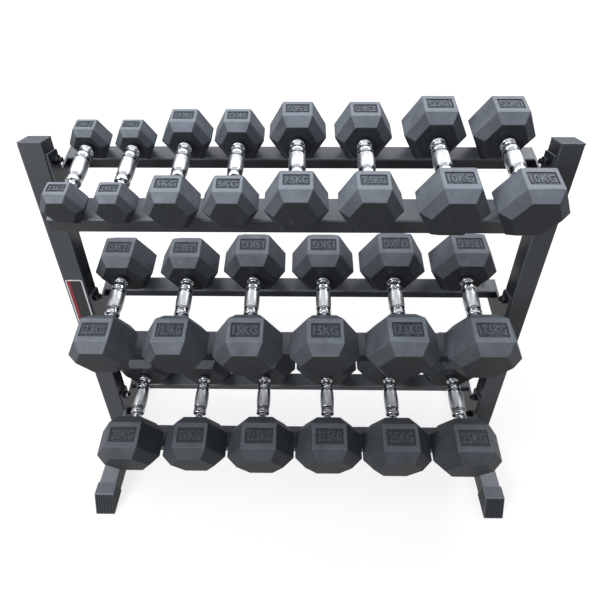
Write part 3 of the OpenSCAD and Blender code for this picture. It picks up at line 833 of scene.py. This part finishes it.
# %% Sizes of the dumbbells, in millimetres
KINDS = {
    # name: head flats, head length, handle length, grip diameter, number on the head
    "2_5kg": (69, 54, 128, 30, "2.5KG"), "5kg": (85, 69, 124, 30, "5KG"),
    "7_5kg": (97, 77, 124, 33, "7.5KG"), "10kg": (105, 86, 123, 33.5, "10KG"),
    "12_5kg": (117, 93, 126, 34, "12.5KG"), "15kg": (125, 98, 128, 34, "15KG"),
    "17_5kg": (131, 100, 126, 34.5, "17.5KG"), "20kg": (134, 105, 130, 34.5, "20KG"),
    "22_5kg": (141, 109, 130, 35, "22.5KG"), "25kg": (144, 113, 131, 36, "25KG"),
}
dumbbells = sorted(b for b in frame["bodies"] if b.startswith("dumbbell_"))
print(len(dumbbells), "dumbbells of", len(KINDS), "kinds")


def kind_of(body):
    return body[len("dumbbell_"):].rsplit("_", 1)[0]


def placed(body):
    """The matrix from a dumbbell made at the origin to its place on the rack."""
    low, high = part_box(body + "_heads")
    return Matrix.Translation((low + high) / 2) @ Matrix.Rotation(TRAY_TILT, 4, "X")


def head_sizes(kind):
    """The head's height across its flats, and its length."""
    return mm(KINDS[kind][0]), mm(KINDS[kind][1])


# %% [markdown]
# ### Heads
#
# A head is a hexagonal block whose two ends are bevelled: four hexagons, one behind the other,
# joined by faces, with edges rounded as moulded rubber is. The panel is then cut with a
# Boolean, whose cutter is a shallow tray with sloping walls. The cut faces take the cutter's
# two finishes, one for the floor and one for the walls, which are painted dark as shade.

# %% The head's block
BEVEL, END_SHARE = 0.168, 0.69  # the bevel's length and the end's flats, as shares of the flats
HEAD_EDGE = mm(1.3)


def hexagon(flats, y):
    radius = flats / 2 / math.cos(math.radians(30))
    return [(radius * math.cos(math.radians(60 * i)), y, radius * math.sin(math.radians(60 * i)))
            for i in range(6)]


def head_block(kind):
    flats, length = head_sizes(kind)
    bm = bmesh.new()
    stations = [(END_SHARE * flats, 0), (flats, BEVEL * flats),
                (flats, length - BEVEL * flats), (END_SHARE * flats, length)]
    shell(bm, [[bm.verts.new(p) for p in hexagon(*s)] for s in stations])
    # Rounded edges take the edge finish: partly wear, partly a painted highlight.
    round_off(bm, bm.edges[:], HEAD_EDGE, 3)
    return mesh_from(bm, "block", rubber, rubber_edge_wear_and_highlight, rubber_floor, rubber_painted_shade)


# %% The panel and its cut
PANEL_W, PANEL_L = 0.8, 0.6  # shares of the flat that the panel lies in
PANEL_DEPTH, PANEL_WALL, PANEL_CORNER, CUTTER_OVER = mm(1.4), mm(1.2), mm(2), mm(1.5)


def panel_size(kind):
    """Width, length and middle of the number panel."""
    flats, length = head_sizes(kind)
    flat_length = length - 2 * BEVEL * flats
    return PANEL_W * flats * math.tan(math.radians(30)), PANEL_L * flat_length, length / 2


def panel_cutter(kind):
    width, depth, middle = panel_size(kind)
    top = head_sizes(kind)[0] / 2
    bm = bmesh.new()
    levels = [(-2 * PANEL_WALL, -PANEL_DEPTH), (0, 0), (CUTTER_OVER, CUTTER_OVER)]
    shell(bm, [rounded_loop(bm, width + wider, depth + wider, PANEL_CORNER, (0, middle), top + z)
               for wider, z in levels])
    # The walls take the painted shade.
    mesh = mesh_from(bm, "cutter", rubber_floor, rubber_painted_shade)
    for face in mesh.polygons:
        face.material_index = int(abs(face.normal.z) < 0.9)
    return mesh


def panelled_head(kind):
    block, cutter = shown("block", head_block(kind)), shown("cutter", panel_cutter(kind))
    cut = block.modifiers.new("panel", "BOOLEAN")
    cut.object, cut.operation, cut.solver = cutter, "DIFFERENCE", "EXACT"
    mesh = evaluated_mesh(block)
    bpy.data.objects.remove(cutter)
    return mesh


head_meshes = {kind: panelled_head(kind) for kind in KINDS}
print("panelled head:", len(head_meshes["25kg"].polygons), "faces")

# %% [markdown]
# ### Numbers
#
# The weight stands in raised letters on the panel's floor, nearly as high as its rim. Text in
# Blender's own font is thickened, turned to a mesh, and stretched to fill the panel's width,
# as on the real mould. Its sides take the painted shade of the panel's walls.

# %% Raised numbers
NUMBER_W, NUMBER_L, NUMBER_H = 0.86, 0.64, 0.75  # shares of the panel's width, length and depth
SUNK = 0.05  # the share of the panel's depth by which the letters go into its floor


def raised_number(kind):
    width, depth, middle = panel_size(kind)
    line = bpy.data.curves.new("number", "FONT")
    line.body = KINDS[kind][4]
    line.offset, line.extrude, line.resolution_u = 0.022, 0.5, 2
    mesh = evaluated_mesh(shown("number", line))
    co = np.array([v.co for v in mesh.vertices])
    want = np.array([NUMBER_W * width, NUMBER_L * depth, NUMBER_H * PANEL_DEPTH])
    co = (co - (co.max(0) + co.min(0)) / 2) * want / np.ptp(co, axis=0)
    floor_z = head_sizes(kind)[0] / 2 - PANEL_DEPTH
    co += [0, middle, floor_z - SUNK * PANEL_DEPTH + want[2] / 2]
    mesh.vertices.foreach_set("co", co.astype(np.float32).ravel())
    bm = bmesh.new()
    bm.from_mesh(mesh)
    bmesh.ops.remove_doubles(bm, verts=bm.verts, dist=mm(0.01))
    bm.normal_update()
    # Steep sides take the painted shade.
    for face in bm.faces:
        face.material_index = int(abs(face.normal.z) < 0.5)
    return mesh_from(bm, "number", rubber_digits, rubber_painted_shade)


number_meshes = {kind: raised_number(kind) for kind in KINDS}
print("raised number:", len(number_meshes["25kg"].polygons), "faces")

# %% Both heads of each dumbbell
half_turn = Matrix.Rotation(math.pi, 4, "Z")
for body in dumbbells:
    kind = kind_of(body)
    outer_end = Matrix.Translation((0, -mm(KINDS[kind][2]) / 2 - head_sizes(kind)[1], 0))
    ends = [placed(body) @ outer_end, placed(body) @ half_turn @ outer_end]
    parts = [(mesh, end) for end in ends for mesh in (head_meshes[kind], number_meshes[kind])]
    mesh = flat_faced(joined(parts, "heads"))
    piece(body + "_rubber_heads", mesh, body, body + "_heads")
print("heads:", len(mesh.polygons), "faces on the last dumbbell")

# %% [markdown]
# ### Handles
#
# A handle is turned, so its outline is spun round its axis. From the head inwards it has a
# collar, a narrow neck, a shoulder ring, a groove, and the knurled grip, which swells a little
# towards its middle. The corners are rounded, as plating is.

# %% The handle's outline
# Lengths along the bar, from the head to the grip, and radii as shares of the grip's radius.
STUB, COLLAR, NECK, SHOULDER, GROOVE = mm(2.5), mm(9), mm(13), mm(10), mm(9)
COLLAR_R, NECK_R, SHOULDER_R, GROOVE_R = 0.88, 0.54, 0.95, 0.9


def handle_sizes(kind):
    """The grip's radius and half its length, and half the handle's length."""
    end = mm(KINDS[kind][2]) / 2
    return mm(KINDS[kind][3]) / 2, end - STUB - COLLAR - NECK - SHOULDER - GROOVE, end


def arc(r, y, radius, first, last, steps):
    """Points on a rounded corner round the centre (r, y), between two angles in degrees."""
    turns = [math.radians(first + (last - first) * i / steps) for i in range(steps + 1)]
    return [(r + radius * math.cos(t), y + radius * math.sin(t)) for t in turns]


def half_handle(kind):
    """(radius, distance from the middle), from under the grip to inside the head."""
    r, grip, end = handle_sizes(kind)
    shoulder, neck = grip + GROOVE, grip + GROOVE + SHOULDER
    collar = neck + NECK
    under_grip = SHOULDER_R * r - mm(0.8)
    small, fillet, bead = mm(0.7), mm(2), mm(3)
    line = [(under_grip, grip - mm(1)), (under_grip, grip - mm(0.3)),
            (SHOULDER_R * r, grip - mm(0.3)), (GROOVE_R * r + small, grip)]
    for corner in ((GROOVE_R * r + small, grip + small, small, 270, 180, 3),
                   (GROOVE_R * r + small, shoulder - small, small, 180, 90, 3),
                   (SHOULDER_R * r - small, shoulder + small, small, -60, 0, 3),
                   (SHOULDER_R * r - bead, neck - bead, bead, 0, 75, 6),
                   (NECK_R * r + fillet, neck + fillet + mm(1.2), fillet, 250, 180, 4),
                   (NECK_R * r + fillet, collar - fillet - mm(0.6), fillet, 180, 110, 4),
                   (COLLAR_R * r - fillet, collar + fillet, fillet, -75, 0, 5),
                   (COLLAR_R * r - fillet, end - STUB - fillet, fillet, 0, 80, 5)):
        line += arc(*corner)
    return line + [(NECK_R * r, end - STUB + mm(0.2)), (NECK_R * r, end + mm(4))]


def turned_bar(kind):
    half_line, grip = half_handle(kind), handle_sizes(kind)[1]
    mesh = turned([(r, -y) for r, y in half_line[::-1]] + half_line, chrome, steps=48)
    # The grooves beside the grip take the chrome with painted shade.
    mesh.materials.append(chrome_with_painted_groove_shade)
    for face in mesh.polygons:
        face.material_index = int(grip < abs(face.center.z) < grip + GROOVE)
    return mesh


bars = {kind: turned_bar(kind) for kind in KINDS}
print("bar:", len(bars["25kg"].polygons), "faces")

# %% [markdown]
# ### Knurled grip
#
# Knurling is rolled into the bar: two sets of helical grooves cross and leave small pyramids.
# Here a grid is wrapped round the bar, and every second vertex of its checkerboard is pushed
# down. A real knurl has a pitch of about 1.2 mm. This one is drawn coarser, at 2 mm, so that
# it still shows from a step away.

# %% Tree for the knurl
knurl, given = new_tree("knurled_band", Radius=0.015, Swell=0.001, Length=0.04,
                        Depth=0.00055, Around=106, Along=40)
columns = add(knurl, MATH, {0: (given, "Around"), 1: 1.0}, operation="ADD")
rows = add(knurl, MATH, {0: (given, "Along"), 1: 1.0}, operation="ADD")
grid = add(knurl, "GeometryNodeMeshGrid",
           {"Size X": 1.0, "Size Y": 1.0, "Vertices X": columns, "Vertices Y": rows})
spot = add(knurl, "ShaderNodeSeparateXYZ", {"Vector": add(knurl, "GeometryNodeInputPosition")})
# Steps of the grid, counted round and along, tell which vertices are valleys.
steps = []
for axis, count in (("X", "Around"), ("Y", "Along")):
    share = add(knurl, MATH, {0: (spot, axis), 1: 0.5}, operation="ADD")
    step = add(knurl, MATH, {0: share, 1: (given, count)}, operation="MULTIPLY")
    steps.append(add(knurl, MATH, {0: step}, operation="ROUND"))
both = add(knurl, MATH, {0: steps[0], 1: steps[1]}, operation="ADD")
odd = add(knurl, MATH, {0: both, 1: 2.0}, operation="FLOORED_MODULO")
sink = add(knurl, MATH, {0: odd, 1: (given, "Depth")}, operation="MULTIPLY")
# The grip's radius falls from its middle as a cosine does.
y = add(knurl, MATH, {0: (spot, "Y"), 1: (given, "Length")}, operation="MULTIPLY")
angle = add(knurl, MATH, {0: (spot, "Y"), 1: math.pi}, operation="MULTIPLY")
fall = add(knurl, MATH, {0: angle}, operation="COSINE")
full = add(knurl, MATH, {0: fall, 1: (given, "Swell"), 2: (given, "Radius")},
           operation="MULTIPLY_ADD")
radius = add(knurl, MATH, {0: full, 1: sink}, operation="SUBTRACT")
turn = add(knurl, MATH, {0: (spot, "X"), 1: -2 * math.pi}, operation="MULTIPLY")
x_part, y_part = (add(knurl, MATH, {0: add(knurl, MATH, {0: turn}, operation=wave), 1: radius},
                      operation="MULTIPLY") for wave in ("COSINE", "SINE"))
place = add(knurl, "ShaderNodeCombineXYZ", {"X": x_part, "Y": y_part, "Z": y})
wrap = add(knurl, "GeometryNodeSetPosition", {"Geometry": grid, "Position": place})
seam = add(knurl, "GeometryNodeMergeByDistance", {"Geometry": wrap, "Distance": WELD})
faceted = add(knurl, "GeometryNodeSetShadeSmooth", {"Geometry": seam, "Shade Smooth": False})
end_tree(knurl, faceted, knurled_chrome)
print("knurl tree:", len(knurl.nodes), "nodes")

# %% Twenty handles
KNURL_PITCH, KNURL_DEPTH = mm(2), mm(0.55)
along_bar = Matrix.Rotation(-math.pi / 2, 4, "X")
grips = {}
for kind in KINDS:
    r, grip, end = handle_sizes(kind)
    grips[kind] = grown(knurl, [Matrix()], Radius=SHOULDER_R * r, Swell=(1 - SHOULDER_R) * r,
                        Length=2 * grip, Depth=KNURL_DEPTH,
                        Around=2 * round(2 * math.pi * r / KNURL_PITCH),
                        Along=2 * round(2 * grip / KNURL_PITCH))
for body in dumbbells:
    place, kind = placed(body) @ along_bar, kind_of(body)
    mesh = joined([(bars[kind], place), (grips[kind], place)], "handle")
    piece(body + "_chrome_handle", mesh, body, body + "_bar")
print("handles:", len(mesh.polygons), "faces on the last one")

# %% [markdown]
# ## Floor, light and camera
#
# The camera sees the pale floor and the world as white. The floor glows for camera rays
# alone: less under the rack, where its shadow stays, and more far away, where the lamps don't
# reach. Mirrors see a dim glow of the floor and a pale room. A large soft lamp overhead lights
# the tops, a smaller one at the left front models the heads, and two weak ones light the back.



# %% Floor
WHITE = (1, 1, 1, 1)


def ray_kinds(tree):
    """Light Path, and a node that is 1 for the rays of mirrors and glass."""
    seen = add(tree, "ShaderNodeLightPath")
    return seen, add(tree, MATH, {0: (seen, "Is Glossy Ray"), 1: (seen, "Is Transmission Ray")},
                     operation="MAXIMUM")


NEAR, FAR = 0.7, 1.8              # distances from the rack's middle, in metres
NEAR_GLOW, FAR_GLOW = 0.78, 0.95  # what the camera sees beside the lamps' light
MIRROR_GLOW = 0.4
bm = bmesh.new()
bmesh.ops.create_grid(bm, x_segments=1, y_segments=1, size=6)
floor_finish, tree, shader, here = new_material("pale_floor", Roughness=0.8)
speckle = add(tree, NOISE, {"Vector": here, "Scale": grains(400)})
tint = add(tree, MIX, {"Factor": speckle, "A": shade("#a6a7a8"), "B": shade("#abacad")},
           data_type="RGBA")
finish_with(tree, shader, Base_Color=tint)
seen, mirrored = ray_kinds(tree)
for_mirrors = add(tree, MATH, {0: mirrored, 1: MIRROR_GLOW}, operation="MULTIPLY")
away = add(tree, VECTOR_MATH, {"Vector": here}, operation="LENGTH")
for_camera = add(tree, REMAP, {"Value": (away, "Value"), "From Min": NEAR, "From Max": FAR,
                               "To Min": NEAR_GLOW, "To Max": FAR_GLOW})
strength = add(tree, MATH, {0: (seen, "Is Camera Ray"), 1: for_camera, 2: for_mirrors},
               operation="MULTIPLY_ADD")
glow = add(tree, "ShaderNodeEmission", {"Color": WHITE, "Strength": strength})
lit = add(tree, "ShaderNodeAddShader", {0: (shader, "BSDF"), 1: glow})
tree.links.new(lit.outputs[0], tree.nodes["Material Output"].inputs["Surface"])
shown("floor", mesh_from(bm, "floor", floor_finish))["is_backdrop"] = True
print("floor's glow for the camera:", NEAR_GLOW, "under the rack,", FAR_GLOW, "far from it")

# %% World
WORLD_LIGHT, ROOM_LOW, ROOM_TOP = 0.06, 0.25, 0.7
world = bpy.data.worlds.new("studio")
scene.world = world
world.use_nodes = True
tree = world.node_tree
dim = tree.nodes["Background"]
dim.inputs["Color"].default_value = WHITE
dim.inputs["Strength"].default_value = WORLD_LIGHT
white = add(tree, "ShaderNodeBackground", {"Color": WHITE, "Strength": 1.0})
# What mirrors see of the room: dim at the horizon, and white from a height of ROOM_TOP up.
way = add(tree, "ShaderNodeTexCoord")
height = add(tree, "ShaderNodeSeparateXYZ", {"Vector": (way, "Generated")})
paler = add(tree, REMAP, {"Value": (height, "Z"), "From Max": ROOM_TOP, "To Min": ROOM_LOW})
room = add(tree, "ShaderNodeBackground", {"Color": WHITE, "Strength": paler})
seen, mirrored = ray_kinds(tree)
for_objects = add(tree, "ShaderNodeMixShader", {0: mirrored, 1: dim, 2: room})
for_all = add(tree, "ShaderNodeMixShader", {0: (seen, "Is Camera Ray"), 1: for_objects, 2: white})
tree.links.new(for_all.outputs[0], tree.nodes["World Output"].inputs["Surface"])
print("world's light on the objects:", WORLD_LIGHT)


# %% Lamps
def soft_lamp(name, place, width, watts):
    """A square lamp that is turned to the middle of the rack."""
    data = bpy.data.lights.new(name, "AREA")
    data.shape, data.size, data.energy = "SQUARE", width, watts
    lamp = bpy.data.objects.new(name, data)
    scene.collection.objects.link(lamp)
    lamp.location = place
    to_rack = Vector((0, 0, 0.5)) - Vector(place)
    lamp.rotation_euler = to_rack.to_track_quat("-Z", "Y").to_euler()


soft_lamp("overhead", (0, 0.6, 3.3), 4, 55)
soft_lamp("front_left", (-1.9, -2.1, 1.7), 1.2, 48)
soft_lamp("right_rear", (1.8, 1.5, 2.4), 0.8, 10)
soft_lamp("left_rear", (-1.8, 1.5, 2.4), 0.8, 5)
print("lamps:", len(bpy.data.lights))

# %% Camera
CAMERA_PLACE = Vector((mm(9.65), mm(-701.55), mm(1239.78)))
DOWN, RIGHTWARDS, ROLL = math.radians(45.208), math.radians(-0.898), math.radians(-0.272)
turn = (Matrix.Rotation(-RIGHTWARDS, 4, "Z") @ Matrix.Rotation(math.pi / 2 - DOWN, 4, "X")
        @ Matrix.Rotation(ROLL, 4, "Z"))
lens = bpy.data.cameras.new("camera")
lens.lens, lens.sensor_width = 27.86, 36
lens.shift_x, lens.shift_y = 0.00255, 0.01028
camera = bpy.data.objects.new("camera", lens)
scene.collection.objects.link(camera)
camera.matrix_world = Matrix.Translation(CAMERA_PLACE) @ turn
scene.camera = camera
scene.view_settings.view_transform = "Standard"
print("camera in mm:", [round(1000 * v) for v in CAMERA_PLACE])

# %% Sizes, and the end
low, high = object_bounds()
past = (*(cad_low - low), *(high - cad_high))
print("past the CAD box, in mm:", [round(1000 * v, 1) for v in past])
